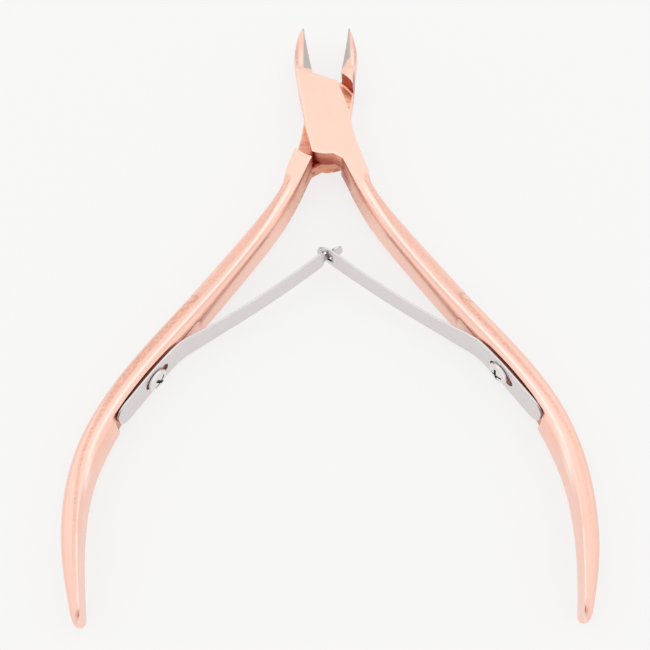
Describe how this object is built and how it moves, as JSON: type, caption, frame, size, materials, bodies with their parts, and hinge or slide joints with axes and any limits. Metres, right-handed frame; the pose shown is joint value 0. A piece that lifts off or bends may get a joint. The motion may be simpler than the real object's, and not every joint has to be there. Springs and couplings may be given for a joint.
{
  "type": "cuticle nipper",
  "caption": "Lap-jointed cuticle nipper with short side-cutting jaws, slender bowed handles and a pair of interlocking leaf springs screwed to the handles",
  "frame": {"origin": "Centre of the rivet's rear end, on the plane that the closed-joint rear face and the handles' rear ridges lie on", "axes": "+X to the side of the front half's handle, +Y from the handles towards the jaws, +Z from the rear face to the front face, along the pivot"},
  "size_m": [0.0826, 0.1098, 0.0066],
  "materials": {
    "rose_gold": "satin",
    "polished_rose": "polished",
    "spring_steel": "brushed",
    "screw_steel": "bright"
  },
  "bodies": {
    "front": {"front_half": "rose_gold", "pivot_rivet": "polished_rose", "right_spring_foot": "spring_steel", "right_spring_screw": "screw_steel"},
    "rear": {"rear_half": "rose_gold", "left_spring_foot": "spring_steel", "left_spring_screw": "screw_steel"},
    "right_leaf": {"right_spring_leaf": "spring_steel"},
    "left_leaf": {"left_spring_leaf": "spring_steel"}
  },
  "joints": [
    {"name": "jaw_pivot", "type": "hinge", "parent": "front", "child": "rear", "pos_m": [0, 0, 0.0033], "axis": [0, 0, 1], "range_deg": [0, 21], "stiffness_Nm_per_rad": 0.3, "springref_deg": -28.65},
    {"name": "right_leaf_flex", "type": "hinge", "parent": "front", "child": "right_leaf", "pos_m": [0.02401, -0.0424, 0.0033], "axis": [0, 0, 1], "range_deg": [-11.4, 0]},
    {"name": "left_leaf_flex", "type": "hinge", "parent": "rear", "child": "left_leaf", "pos_m": [-0.02401, -0.0424, 0.0033], "axis": [0, 0, 1], "range_deg": [0, 11.4]}
  ],
  "couplings": [
    {"joint": "right_leaf_flex", "follows": "jaw_pivot", "ratio": -0.541},
    {"joint": "left_leaf_flex", "follows": "jaw_pivot", "ratio": 0.541}
  ]
}
